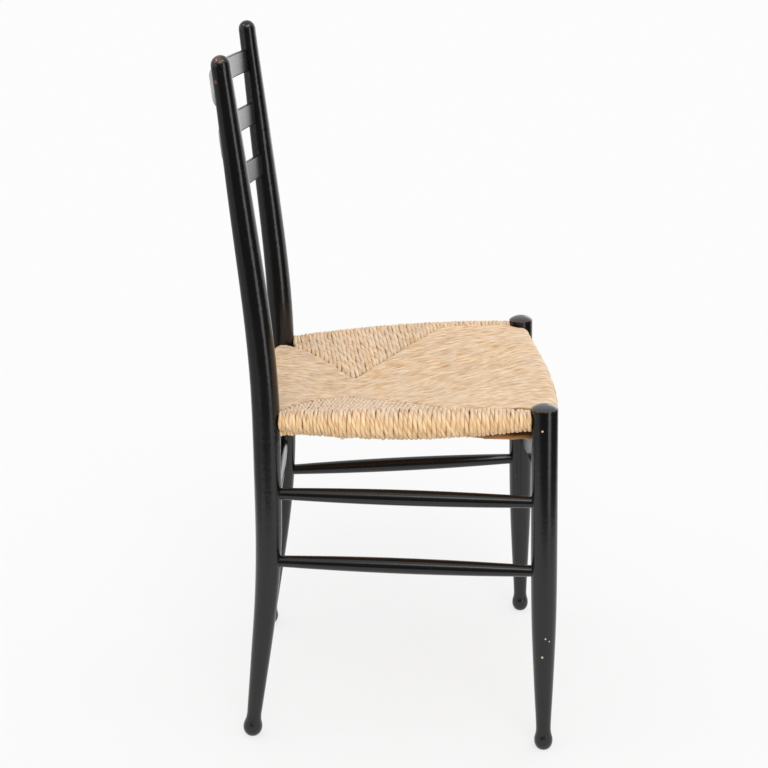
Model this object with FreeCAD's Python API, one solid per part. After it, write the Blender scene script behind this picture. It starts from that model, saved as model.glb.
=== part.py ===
import FreeCAD, Part
import math
import os

# Ladderback chair with a rush seat. Millimetres, +Z up, the sitter faces -Y and has +X on the left.
# The origin is on the floor, at the middle of the chair's width and depth.
# Inside the script Y is first counted from the front legs' tops; save() centres it.

Vector = FreeCAD.Vector

# Fits
glue_gap = 0.1             # round every tenon in its socket
rush_gap = 0.3             # between the rush and the wood or the stuffing it goes round
overrun = 20.0             # how far cutting bodies run past what they cut
tangent_step = 1.0         # half the stretch of centre line that a slope is read from

# Back posts
post_height = 884.0        # floor to the centre of the round crown
post_spacing = 346.0       # between centre lines at the seat
seat_depth = 344.6         # front legs' tops to the posts' upright stretch
post_radius = 17.6
crown_radius = 11.8
post_neck_radius = 9.5
post_neck_height = 30.0
post_ball_radius = 12.6
post_rake = 5.9            # degrees, backward lean above the bend
post_rake_above_seat = 49.0
post_rake_softness = 38.0
post_splay = 4.0           # degrees, outward lean from just under the seat's top
post_splay_below_seat = 29.0
post_splay_softness = 10.0
heel_rake = 7.7            # degrees, the foot's backward sweep
heel_rake_start = 234.0
heel_rake_softness = 60.0
heel_splay = 1.0           # degrees
post_shares = [            # height as a share of post_height, girth as a share of post_radius
    (0.06, 0.59),
    (0.10, 0.665),
    (0.14, 0.74),
    (0.20, 0.83),
    (0.31, 0.955),
    (0.42, 0.99),
    (0.53, 1.00),
    (0.65, 0.945),
    (0.77, 0.87),
    (0.87, 0.785),
    (0.95, 0.70),
]

# Front legs
leg_height = 461.5         # floor to the rim under the domed top
leg_spacing_top = 426.0
leg_spacing_foot = 440.7
leg_setback_top = -1.4
leg_setback_foot = -6.1
leg_radius = 16.7
leg_dome_height = 6.2
leg_neck_radius = 9.6
leg_neck_height = 29.0
leg_ball_radius = 12.0
leg_shares = [             # height as a share of leg_height, girth as a share of leg_radius
    (0.09, 0.60),
    (0.155, 0.69),
    (0.23, 0.785),
    (0.30, 0.865),
    (0.37, 0.93),
    (0.45, 0.975),
    (0.53, 0.993),
    (0.64, 1.00),
    (0.76, 1.00),
    (0.88, 1.00),
]

# Ball feet: height as a share of the neck's height, and how far from the neck's to the ball's radius
foot_shares = [
    (0.0, -1.2),
    (0.05, -0.45),
    (0.14, 0.3),
    (0.27, 0.85),
    (0.41, 1.0),
    (0.55, 0.82),
    (0.69, 0.38),
    (0.83, 0.08),
    (1.0, 0.0),
]

# Slats, and the flat front stretcher of the same stock
slat_height = 29.6
slat_thickness = 6.5
slat_bow = 27.0            # how far the middle stands behind the ends
slat_setback = 12.6        # front face behind the posts' front at the ends
slat_end_short = 1.5       # the ends stop this far before the posts' centre line
slat_edge_radius = 1.8
slat_top_drop = 41.5       # middle of the top slat below the centre of the posts' crowns
slat_pitch = 72.0
slat_names = ["slat_top", "slat_middle", "slat_bottom"]
apron_height = 30.0
apron_thickness = 8.0
apron_bow = 14.0           # how far its middle stands in front of its ends
apron_drop = 167.5         # its middle under the front legs' rims
apron_edge_radius = 2.0

# Round stretchers
side_stretcher_drops = {"upper": 123.0, "lower": 215.5}   # under the front legs' rims
side_stretcher_end_radius = 7.35
side_stretcher_middle_radius = 10.2
back_stretcher_drop = 169.5
back_stretcher_end_radius = 7.2
back_stretcher_middle_radius = 9.0
tenon_past_centre = 5.0    # how far a stretcher's tenon runs past the middle of its leg

# Rush winding round the rails: its height at the legs and how much it swells between them.
# The front and back rails are set lower than the side rails, so the tenons pass each other.
rush_thickness = 5.5
side_drop = 2.5            # side winding's top under the front legs' rims
seat_fall = 11.0           # side winding's top, from the front corners to the back corners
side_front_height = 26.0
side_back_height = 24.0
side_crowns = {"left": 7.5, "right": 3.0}   # the sitter's right side is wound flatter
side_belly = 13.5
front_drop = 6.0           # front winding's top at the legs, under the side winding's
front_height = 38.0
front_crown = 5.0
front_belly = 3.0
back_drop = 7.5            # back winding's top at the posts, under the side winding's
back_height = 28.0
back_crown = 4.0
back_belly = 6.0
winding_half_width_end = 11.8
winding_half_widths_middle = {"left": 19.0, "right": 19.0, "front": 14.5, "back": 14.5}
front_rail_bow = 10.0      # the front rail is bowed forwards
front_rail_skew = 1.0      # and fuller on the sitter's right
rail_tenon_radius = 6.0
rail_tenon_past_centre = 4.0
rail_tenon_gap = 1.5       # between the two tenons that cross inside a leg
rail_shoulder_gap = 0.5
rail_shares = [0.0, 0.12, 0.3, 0.5, 0.7, 0.88, 1.0]

# Seat between the rails
seat_sag = 32.0            # top surface at the middle, below the side rails' winding
seat_belly = 18.0          # underside below the same winding
seat_edge_sink = 0.6       # the seat's edge lies this far inside the winding
seat_shares = [            # of the depth and the sag, and how far it follows the front winding's top,
    (0.0, 0.0, 1.0, 1.0, 0.0),       # the front winding's underside and the back winding
    (0.055, 0.11, 0.0, 0.85, 0.0),
    (0.17, 0.34, 0.0, 0.55, 0.0),
    (0.35, 0.68, 0.0, 0.2, 0.0),
    (0.53, 0.93, 0.0, 0.0, 0.0),
    (0.70, 1.0, 0.0, 0.0, 0.0),
    (0.86, 0.62, 0.0, 0.0, 0.25),
    (1.0, 0.0, 0.0, 0.0, 1.0),
]
mitre_inset = 14.5         # from a rail's centre line to the mitre beside its leg
mitre_bend_share = 0.35    # of the depth, where the front field leaves the side rail
mitre_apex_depth = 241.0   # behind the front legs' tops
mitre_apex_half_gap = 44.0
stuffing_skin = 7.0        # rush above and below the stuffing
stuffing_margin = 22.0     # from the rails' centre lines to the stuffing
stuffing_depth_shares = [0.12, 0.35, 0.53, 0.70, 0.88]

sides = {"left": 1, "right": -1}
post_rake_start = leg_height + post_rake_above_seat
post_splay_start = leg_height - post_splay_below_seat
slat_top_height = post_height - slat_top_drop
apron_middle_height = leg_height - apron_drop
back_stretcher_height = leg_height - back_stretcher_drop
side_stretcher_heights = {level: leg_height - drop for level, drop in side_stretcher_drops.items()}
side_front_top = leg_height - side_drop
side_back_top = side_front_top - seat_fall
front_top = side_front_top - front_drop
back_top = side_back_top - back_drop


def slope(degrees):
    return math.tan(math.radians(degrees))


def eased(rise, softness):
    """Zero well before a bend and equal to the rise well after it, with a hyperbola between."""
    return (rise + math.hypot(rise, softness)) / 2


def mix(first, last, share):
    return first + (last - first) * share


def swelling(share):
    """Zero at both ends of a rail and one in its middle, along a parabola."""
    return 4 * share * (1 - share)


def post_line(height, side):
    """Point of a back post's centre line at a height."""
    back = slope(post_rake) * eased(height - post_rake_start, post_rake_softness)
    back += slope(heel_rake) * eased(heel_rake_start - height, heel_rake_softness)
    out = slope(post_splay) * eased(height - post_splay_start, post_splay_softness)
    out += slope(heel_splay) * eased(heel_rake_start - height, heel_rake_softness)
    return Vector(side * (post_spacing / 2 + out), seat_depth + back, height)


def leg_line(height, side):
    """Point of a front leg's centre line at a height."""
    share = height / leg_height
    spacing = mix(leg_spacing_foot, leg_spacing_top, share)
    return Vector(side * spacing / 2, mix(leg_setback_foot, leg_setback_top, share), height)


def heading(line, height, side):
    ahead = line(height + tangent_step, side)
    behind = line(height - tangent_step, side)
    return (ahead - behind).normalize()


def disc(line, height, side, radius):
    """Circle round a centre line, square to it."""
    ring = Part.Wire(Part.makeCircle(radius))
    turn = FreeCAD.Rotation(Vector(0, 0, 1), heading(line, height, side))
    ring.Placement = FreeCAD.Placement(line(height, side), turn)
    return ring


def cap(line, height, side, radius, rise):
    """Part of a ball that closes a turned top: as wide as the top and as high as rise."""
    ball_radius = (radius ** 2 + rise ** 2) / (2 * rise)
    axis = heading(line, height, side)
    centre = line(height, side) + axis * (rise - ball_radius)
    low = math.degrees(math.asin((ball_radius - rise) / ball_radius))
    return Part.makeSphere(ball_radius, centre, axis, low, 90, 360)


def foot(line, side, neck_height, neck_radius, ball_radius):
    """Ball foot turned below a neck, flat where it stands."""
    axis = heading(line, neck_height, side)
    length = neck_height / axis.z
    points = [Vector(mix(neck_radius, ball_radius, way), 0, length * (up - 1)) for up, way in foot_shares]
    curve = Part.BSplineCurve()
    curve.interpolate(points)
    base = Vector(0, 0, points[0].z)
    edges = [
        curve.toShape(),
        Part.makeLine(points[-1], Vector(0, 0, 0)),
        Part.makeLine(Vector(0, 0, 0), base),
        Part.makeLine(base, points[0]),
    ]
    ball = Part.Face(Part.Wire(edges)).revolve(Vector(0, 0, 0), Vector(0, 0, 1), 360)
    ball.Placement = FreeCAD.Placement(line(neck_height, side), FreeCAD.Rotation(Vector(0, 0, 1), axis))
    return ball


def turned(line, side, stations, top_rise, ball_radius):
    """Turned leg: a loft through discs, a domed top and a ball foot cut level with the floor."""
    body = Part.makeLoft([disc(line, height, side, radius) for height, radius in stations], True, False)
    neck_height, neck_radius = stations[0]
    top_height, top_radius = stations[-1]
    top = cap(line, top_height, side, top_radius, top_rise)
    ball = foot(line, side, neck_height, neck_radius, ball_radius)
    reach = ball_radius + overrun
    under = Part.makeBox(2 * reach, 2 * reach, reach)
    under.translate(line(0, side) - Vector(reach, reach, reach))
    return body.fuse([top, ball]).cut(under)


def back_post(side, grow):
    stations = [(post_neck_height, post_neck_radius + grow)]
    stations += [(post_height * up, post_radius * girth + grow) for up, girth in post_shares]
    stations.append((post_height, crown_radius + grow))
    return turned(post_line, side, stations, crown_radius + grow, post_ball_radius + grow)


def front_leg(side, grow):
    stations = [(leg_neck_height, leg_neck_radius + grow)]
    stations += [(leg_height * up, leg_radius * girth + grow) for up, girth in leg_shares]
    stations.append((leg_height, leg_radius + grow))
    return turned(leg_line, side, stations, leg_dome_height + grow, leg_ball_radius + grow)


def bowed_board(half_length, end_depth, bow, thickness, low, high, lean, edge_radius):
    """Board between two concentric arcs, bowed towards +Y or, with a negative bow, towards -Y."""
    away = math.copysign(1, bow)
    radius = (half_length ** 2 + bow ** 2) / (2 * abs(bow))
    half_angle = math.asin(half_length / radius)
    centre = end_depth + bow - away * radius

    def point(reach, angle):
        return Vector(reach * math.sin(angle), centre + away * reach * math.cos(angle), low)

    outer = radius + thickness
    edges = [
        Part.Arc(point(radius, -half_angle), point(radius, 0), point(radius, half_angle)).toShape(),
        Part.makeLine(point(radius, half_angle), point(outer, half_angle)),
        Part.Arc(point(outer, half_angle), point(outer, 0), point(outer, -half_angle)).toShape(),
        Part.makeLine(point(outer, -half_angle), point(radius, -half_angle)),
    ]
    board = Part.Face(Part.Wire(edges)).extrude(Vector(0, lean * (high - low), high - low))
    long_edges = [edge for edge in board.Edges if edge.Length > half_length]
    return board.makeFillet(edge_radius, long_edges)


def slat(index, grow):
    middle = slat_top_height - index * slat_pitch
    low = middle - slat_height / 2 - grow
    high = middle + slat_height / 2 + grow
    across = heading(post_line, middle, 1)
    lean = across.y / across.z
    post = post_line(middle, 1)
    post_front = post.y - girth_at(post_shares, middle, post_height, post_radius)
    end_depth = post_front + slat_setback - grow + lean * (low - middle)
    half_length = post.x - slat_end_short + grow
    return bowed_board(half_length, end_depth, slat_bow, slat_thickness + 2 * grow, low, high, lean,
                       slat_edge_radius + grow)


def apron(grow):
    """The flat front stretcher."""
    low = apron_middle_height - apron_height / 2 - grow
    high = apron_middle_height + apron_height / 2 + grow
    leg = leg_line(apron_middle_height, 1)
    end_depth = leg.y + apron_thickness / 2 + grow
    return bowed_board(leg.x - slat_end_short + grow, end_depth, -apron_bow, apron_thickness + 2 * grow, low, high,
                       0, apron_edge_radius + grow)


def round_stretcher(first, last, end_radius, middle_radius, first_leg_radius, last_leg_radius, grow):
    """Stretcher between two centre-line points: plain tenons, and a swelling between the two legs."""
    run = last - first
    axis = Vector(run).normalize()
    start = -tenon_past_centre - grow
    end = run.Length + tenon_past_centre + grow
    end_radius += grow
    middle = (first_leg_radius + run.Length - last_leg_radius) / 2
    swell_start = Vector(first_leg_radius, end_radius, 0)
    swell_end = Vector(run.Length - last_leg_radius, end_radius, 0)
    edges = [
        Part.makeLine(Vector(start, 0, 0), Vector(start, end_radius, 0)),
        Part.makeLine(Vector(start, end_radius, 0), swell_start),
        Part.Arc(swell_start, Vector(middle, middle_radius + grow, 0), swell_end).toShape(),
        Part.makeLine(swell_end, Vector(end, end_radius, 0)),
        Part.makeLine(Vector(end, end_radius, 0), Vector(end, 0, 0)),
        Part.makeLine(Vector(end, 0, 0), Vector(start, 0, 0)),
    ]
    bar = Part.Face(Part.Wire(edges)).revolve(Vector(0, 0, 0), Vector(1, 0, 0), 360)
    bar.Placement = FreeCAD.Placement(first, FreeCAD.Rotation(Vector(1, 0, 0), axis))
    return bar


def girth_at(shares, height, whole_height, whole_radius):
    """Radius of a turned leg at a height, between the two stations round it."""
    last_up, last_girth = shares[0]
    for up, girth in shares[1:]:
        if height <= up * whole_height:
            share = (height / whole_height - last_up) / (up - last_up)
            return whole_radius * mix(last_girth, girth, share)
        last_up, last_girth = up, girth
    return whole_radius * last_girth


def side_stretcher(side, height, grow):
    leg_girth = girth_at(leg_shares, height, leg_height, leg_radius)
    post_girth = girth_at(post_shares, height, post_height, post_radius)
    return round_stretcher(leg_line(height, side), post_line(height, side), side_stretcher_end_radius,
                           side_stretcher_middle_radius, leg_girth, post_girth, grow)


def back_stretcher(grow):
    girth = girth_at(post_shares, back_stretcher_height, post_height, post_radius)
    return round_stretcher(post_line(back_stretcher_height, -1), post_line(back_stretcher_height, 1),
                           back_stretcher_end_radius, back_stretcher_middle_radius, girth, girth, grow)


# Each run of winding: side of its first and last corner, tops and bottoms there, crown and belly
front_bottom = front_top - front_height
back_bottom = back_top - back_height
side_tops = (side_front_top, side_back_top)
side_bottoms = (side_front_top - side_front_height, side_back_top - side_back_height)
run_tops = {"left": side_tops, "right": side_tops, "front": (front_top, front_top), "back": (back_top, back_top)}
run_bottoms = {"left": side_bottoms, "right": side_bottoms, "front": (front_bottom, front_bottom),
               "back": (back_bottom, back_bottom)}
run_swells = {"front": (front_crown, front_belly), "back": (back_crown, back_belly)}
run_swells.update({name: (crown, side_belly) for name, crown in side_crowns.items()})


def run_ends(name):
    """Where a run meets its two legs' centre lines, at the middle of its winding's height there."""
    heights = [(top + bottom) / 2 for top, bottom in zip(run_tops[name], run_bottoms[name])]
    if name == "front":
        return leg_line(heights[0], -1), leg_line(heights[1], 1)
    if name == "back":
        return post_line(heights[0], -1), post_line(heights[1], 1)
    return leg_line(heights[0], sides[name]), post_line(heights[1], sides[name])


runs = {name: run_ends(name) for name in run_tops}


def winding_top(name, share):
    first, last = run_tops[name]
    return mix(first, last, share) + run_swells[name][0] * swelling(share)


def winding_bottom(name, share):
    first, last = run_bottoms[name]
    return mix(first, last, share) - run_swells[name][1] * swelling(share)


def winding_half_width(name, share):
    return mix(winding_half_width_end, winding_half_widths_middle[name], swelling(share))


def forward_bow(name, share):
    """How far a rail's centre line stands in front of the straight line between its ends."""
    if name != "front":
        return 0
    return front_rail_bow * swelling(share) * (1 + front_rail_skew * (1 - 2 * share))


def oval_loft(name, shares, skin, bow_start):
    """Loft of upright ovals along a run: the winding itself, or with a skin taken off, what it goes round."""
    first, last = runs[name]
    along = Vector(last.x - first.x, last.y - first.y, 0).normalize()
    across = Vector(along.y, -along.x, 0)
    rings = []
    for share in shares:
        top = winding_top(name, share) - skin
        bottom = winding_bottom(name, share) + skin
        wide = winding_half_width(name, share) - skin
        centre = Vector(mix(first.x, last.x, share), mix(first.y, last.y, share), (top + bottom) / 2)
        centre.y -= forward_bow(name, (share - bow_start) / (1 - 2 * bow_start))
        oval = Part.Ellipse(centre + Vector(0, 0, (top - bottom) / 2), centre + across * wide, centre)
        rings.append(Part.Wire(oval.toShape()))
    return Part.makeLoft(rings, True, False)


def seat_rail(name, grow):
    """Rail under the winding: an oval bar with a round tenon at each end."""
    first, last = runs[name]
    level_run = Vector(last.x - first.x, last.y - first.y, 0)
    along = Vector(level_run).normalize()
    on_leg = {"left": (leg_radius, post_radius), "right": (leg_radius, post_radius),
              "front": (leg_radius, leg_radius), "back": (post_radius, post_radius)}[name]
    shoulders = [(on_leg[0] + rail_shoulder_gap) / level_run.Length,
                 1 - (on_leg[1] + rail_shoulder_gap) / level_run.Length]
    body_shares = [mix(shoulders[0], shoulders[1], share) for share in rail_shares]
    body = oval_loft(name, body_shares, rush_thickness - grow, shoulders[0])
    if name in sides:
        past = rail_tenon_past_centre
    else:
        past = -rail_tenon_radius - rail_tenon_gap
    tenons = []
    for corner, way, reach in ((first, along, on_leg[0]), (last, along * -1, on_leg[1])):
        start = corner - way * (past + grow)
        length = past + grow + reach + rail_tenon_radius
        tenons.append(Part.makeCylinder(rail_tenon_radius + grow, length, start, way))
    return body.fuse(tenons)


def seat_at(share):
    """Sag and the three follow shares at a share of the depth, between the two stations round it."""
    last = seat_shares[0]
    for station in seat_shares[1:]:
        if share <= station[0]:
            way = (share - last[0]) / (station[0] - last[0])
            return [mix(first, second, way) for first, second in zip(last[1:], station[1:])]
        last = station
    return last[1:]


def follow(height, front_height, front_share, back_height, back_share):
    return mix(mix(height, front_height, front_share), back_height, back_share)


def seat_heights(share):
    """Top at the left edge, middle and right edge, then underside at the edges and middle."""
    sag, front_top_share, front_low_share, back_share = seat_at(share)
    left, right = winding_top("left", share), winding_top("right", share)
    middle = (left + right) / 2 - seat_sag * sag
    low = winding_bottom("left", share)
    middle_share = 1 / 2
    tops = [follow(top, winding_top("front", place), front_top_share, winding_top("back", place), back_share)
            for top, place in ((left, 0), (middle, middle_share), (right, 0))]
    lows = [follow(low - drop, winding_bottom("front", place), front_low_share,
                   winding_bottom("back", place), back_share)
            for drop, place in ((0, 0), (seat_belly * sag, middle_share))]
    return [top - seat_edge_sink for top in tops], [low + seat_edge_sink for low in lows]


def seat_section(share, margin, skin):
    """Upright cross-section of the seat between the side rails at a share of its depth."""
    first, last = runs["left"]
    depth = mix(first.y, last.y, share)
    half = mix(first.x, last.x, share) - margin
    fullness = 1 - (half / (half + margin)) ** 2
    (left, middle, right), (edge_low, middle_low) = seat_heights(share)
    top_middle = Vector(0, depth, middle - skin)
    bottom_middle = Vector(0, depth, middle_low + skin)
    low = mix(edge_low, middle_low, fullness) + skin
    corners = [Vector(half, depth, mix(left, middle, fullness) - skin),
               Vector(-half, depth, mix(right, middle, fullness) - skin),
               Vector(-half, depth, low), Vector(half, depth, low)]
    return Part.Wire([
        Part.Arc(corners[0], top_middle, corners[1]).toShape(),
        Part.makeLine(corners[1], corners[2]),
        Part.Arc(corners[2], bottom_middle, corners[3]).toShape(),
        Part.makeLine(corners[3], corners[0]),
    ])


def seat_web():
    """The seat between the rails, whole: hollow above, bellied below."""
    return Part.makeLoft([seat_section(station[0], 0, 0) for station in seat_shares], True, False)


def stuffing(grow):
    sections = [seat_section(share, stuffing_margin - grow, stuffing_skin - grow)
                for share in stuffing_depth_shares]
    return Part.makeLoft(sections, True, False)


def mitre_points(side):
    """Plan of one side's mitre, from the front leg to the back post."""
    leg, post = runs["left" if side > 0 else "right"]
    inset = mitre_inset
    corner = Vector(leg.x - side * inset, leg.y + inset, 0)
    bend_x = mix(leg.x, post.x, mitre_bend_share) - side * inset
    bend = Vector(bend_x, mix(leg.y, post.y, mitre_bend_share), 0)
    apex = Vector(side * mitre_apex_half_gap, mitre_apex_depth, 0)
    return [Vector(leg.x, leg.y, 0), corner, bend, apex, Vector(post.x, post.y, 0)]


def field_prism(name):
    """Upright prism over one field of the seat, bounded by the mitres."""
    left, right = mitre_points(1), mitre_points(-1)
    if name in sides:
        plan = mitre_points(sides[name])
        out = Vector(sides[name] * overrun * 2, 0, 0)
        plan += [plan[-1] + out, plan[0] + out]
    elif name == "front":
        out = Vector(0, -overrun * 2, 0)
        plan = left[:4] + right[3::-1] + [right[0] + out, left[0] + out]
    else:
        out = Vector(0, overrun * 2, 0)
        plan = left[3:] + [left[-1] + out, right[-1] + out] + right[:2:-1]
    low = Vector(0, 0, back_bottom - side_belly - seat_belly - overrun)
    high = side_front_top + max(side_crowns.values()) + overrun - low.z
    ring = Part.makePolygon([point + low for point in plan + plan[:1]])
    return Part.Face(ring).extrude(Vector(0, 0, high))


def rush_field(name, legs):
    """One field of rush: its winding and its share of the seat, round the rail, legs and stuffing."""
    prism = field_prism(name)
    winding = oval_loft(name, rail_shares, 0, 0).common(prism)
    web = seat_web().common(prism)
    field = winding.fuse(web)
    for taken in legs + [seat_rail(rail, rush_gap) for rail in runs] + [stuffing(rush_gap)]:
        field = field.cut(taken)
    return max(field.Solids, key=lambda solid: solid.Volume)


def cut_all(solid, cutters):
    for cutter in cutters:
        solid = solid.cut(cutter)
    return solid


def frame_pieces():
    """The wooden frame: every leg and post is cut by what is tenoned into it."""
    pieces = {}
    rails = {name: seat_rail(name, glue_gap) for name in runs}
    slats = [slat(index, glue_gap) for index in range(len(slat_names))]
    for word, side in sides.items():
        stretchers = [side_stretcher(side, height, glue_gap) for height in side_stretcher_heights.values()]
        in_leg = stretchers + [rails[word], rails["front"], apron(glue_gap)]
        in_post = stretchers + [rails[word], rails["back"], back_stretcher(glue_gap)] + slats
        pieces["front_leg_" + word] = cut_all(front_leg(side, 0), in_leg)
        pieces["back_post_" + word] = cut_all(back_post(side, 0), in_post)
        for level, height in side_stretcher_heights.items():
            pieces["side_stretcher_" + level + "_" + word] = side_stretcher(side, height, 0)
    for index, name in enumerate(slat_names):
        pieces[name] = slat(index, 0)
    pieces["front_stretcher"] = apron(0)
    pieces["back_stretcher"] = back_stretcher(0)
    return pieces


def seat_pieces():
    """The seat: four rails, the stuffing and the four fields of rush."""
    pieces = {"seat_stuffing": stuffing(0)}
    legs = [front_leg(side, rush_gap) for side in (1, -1)] + [back_post(side, rush_gap) for side in (1, -1)]
    for name in runs:
        pieces["seat_rail_" + name] = seat_rail(name, 0)
        pieces["rush_" + name] = rush_field(name, legs)
    return pieces


def middle_depth():
    """Half way between the rush over the front rail and the back of the top slat."""
    front_depths = [forward_bow("front", share) + winding_half_width("front", share) for share in rail_shares]
    foremost = runs["front"][0].y - max(front_depths)
    post_front = post_line(slat_top_height + slat_height / 2, 1).y
    post_front -= girth_at(post_shares, slat_top_height, post_height, post_radius)
    hindmost = post_front + slat_setback + slat_bow + slat_thickness
    return (foremost + hindmost) / 2


def save(pieces):
    os.makedirs("parts", exist_ok=True)
    shift = Vector(0, -middle_depth(), 0)
    for name, shape in pieces.items():
        shape.translate(shift)
        solid = shape.Solids[0]
        print(name, len(shape.Solids), "solid", "valid" if solid.isValid() else "NOT VALID",
              round(solid.Volume / 1000, 1), "cm3")
        solid.exportStep("parts/" + name + ".step")
    whole = Part.makeCompound(list(pieces.values())).BoundBox
    print("box", [round(v, 2) for v in (whole.XMin, whole.XMax, whole.YMin, whole.YMax, whole.ZMin, whole.ZMax)])
    for word, side in sides.items():
        print(word, "feet", leg_line(0, side) + shift, post_line(0, side) + shift)


pieces = frame_pieces()
pieces.update(seat_pieces())
save(pieces)
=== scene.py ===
import math

import bpy
import numpy as np
from mathutils import Matrix, Vector


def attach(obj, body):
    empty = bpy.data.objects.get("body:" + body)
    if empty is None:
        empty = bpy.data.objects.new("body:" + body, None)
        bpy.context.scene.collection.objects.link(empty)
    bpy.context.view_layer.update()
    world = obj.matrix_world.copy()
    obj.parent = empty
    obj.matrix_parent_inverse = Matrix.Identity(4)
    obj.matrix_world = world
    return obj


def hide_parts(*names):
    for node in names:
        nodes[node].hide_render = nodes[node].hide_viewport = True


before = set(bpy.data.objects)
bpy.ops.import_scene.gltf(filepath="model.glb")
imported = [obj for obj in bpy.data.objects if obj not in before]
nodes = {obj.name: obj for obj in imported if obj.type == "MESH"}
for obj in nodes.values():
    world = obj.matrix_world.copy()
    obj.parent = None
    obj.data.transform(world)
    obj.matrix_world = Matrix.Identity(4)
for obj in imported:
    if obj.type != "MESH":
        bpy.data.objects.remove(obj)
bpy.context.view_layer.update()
print("frame loaded:", len(nodes), "nodes")

colourMix = {"data_type": "RGBA"}      # a Mix node on colours takes its share at 0, its colours at 6 and 7
white = "#ffffff"
black = "#000000"


# An sRGB hex colour as the linear values that shaders take: each channel goes through the sRGB curve.
def toLinear(hexColour):
    raw = np.array([int(hexColour[i:i + 2], 16) for i in (1, 3, 5)]) / 255
    linear = np.where(raw <= 0.04045, raw / 12.92, ((raw + 0.055) / 1.055) ** 2.4)
    return (*linear.tolist(), 1.0)


# One node, with its properties set and its inputs filled or linked, by name or by number.
def addNode(tree, kind, settings=None, inputs=None):
    node = tree.nodes.new(kind)
    for name, value in (settings or {}).items():
        setattr(node, name, value)
    for name, value in (inputs or {}).items():
        if isinstance(value, bpy.types.NodeSocket):
            tree.links.new(value, node.inputs[name])
        else:
            node.inputs[name].default_value = value
    return node


# An empty material, with one shader on its surface.
def newMaterial(name):
    material = bpy.data.materials.new(name)
    material.use_nodes = True
    tree = material.node_tree
    tree.nodes.clear()
    shader = addNode(tree, "ShaderNodeBsdfPrincipled")
    addNode(tree, "ShaderNodeOutputMaterial", inputs={"Surface": shader.outputs[0]})
    return material, tree, shader


# Black lacquer on the turned frame

lacquer = {
    # Lacquer in two tones, the brown wood that shows where it is rubbed through, the pale wood that shows
    # where it is knocked off, and a pale blue-grey painted on the front legs' tops as a painted reflection
    # of the bright room above.
    "black": "#0a0909", "brushed": "#12100f", "rubbed": "#5c4333", "chipped": "#cfb698", "paintedTopSheen": "#565a5f",
    "roughness": 0.2, "ior": 1.5,
    # Scale and detail of each noise: the two tones drift over some 7 cm, brush marks are about 5 mm apart,
    # worn edges are ragged by a few millimetres, and pinholes are about 1 mm across.
    "noises": {"drift": (14.0, 4.0), "brush": (210.0, 2.0), "ragged": (420.0, 3.0), "speck": (520.0, 1.0)},
    "brushDepth": 0.00006,
    # Places where hands and knocks wore it: x, y, z and radius in metres.
    "rubs": ((-0.2115, 0.1925, 0.8915, 0.0135), (-0.2116, 0.1965, 0.8654, 0.006),
             (-0.2335, -0.191, 0.4612, 0.0045), (0.229, -0.190, 0.4612, 0.006),
             (0.190, 0.192, 0.893, 0.009), (0.206, -0.191, 0.224, 0.009)),
    "chips": ((-0.2296, -0.1912, 0.4369, 0.0017), (-0.233, -0.188, 0.217, 0.0020),
              (-0.234, -0.199, 0.160, 0.0020), (-0.233, -0.2045, 0.156, 0.0022),
              (-0.233, -0.195, 0.134, 0.0022), (-0.232, -0.1925, 0.109, 0.0016),
              (-0.194, 0.164, 0.153, 0.0018), (-0.192, 0.171, 0.095, 0.0016),
              (-0.192, 0.173, 0.071, 0.0016), (0.234, -0.186, 0.300, 0.0020)),
    "fading": {"rubs": 1.0, "chips": 0.35},        # share of its radius over which a worn place fades out
    "wornGain": 1.3, "wornLoss": 0.62,             # what a place's nearness is multiplied by, less what
    "rimHeight": 0.4613, "rimHalf": 0.0008,        # the front legs' top edges, worn through all round
    # For each kind of wear, and for the painted reflection on the front legs' tops: where its signal begins
    # to show, where it shows in full, and how much that is.
    "shows": {"rubs": (0.62, 0.78, 0.9), "chips": (0.62, 0.78, 0.9), "tops": (0.72, 0.99, 0.85),
              "rims": (0.42, 0.55, 0.8), "pinholes": (0.79, 0.81, 0.8)},
}


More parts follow.
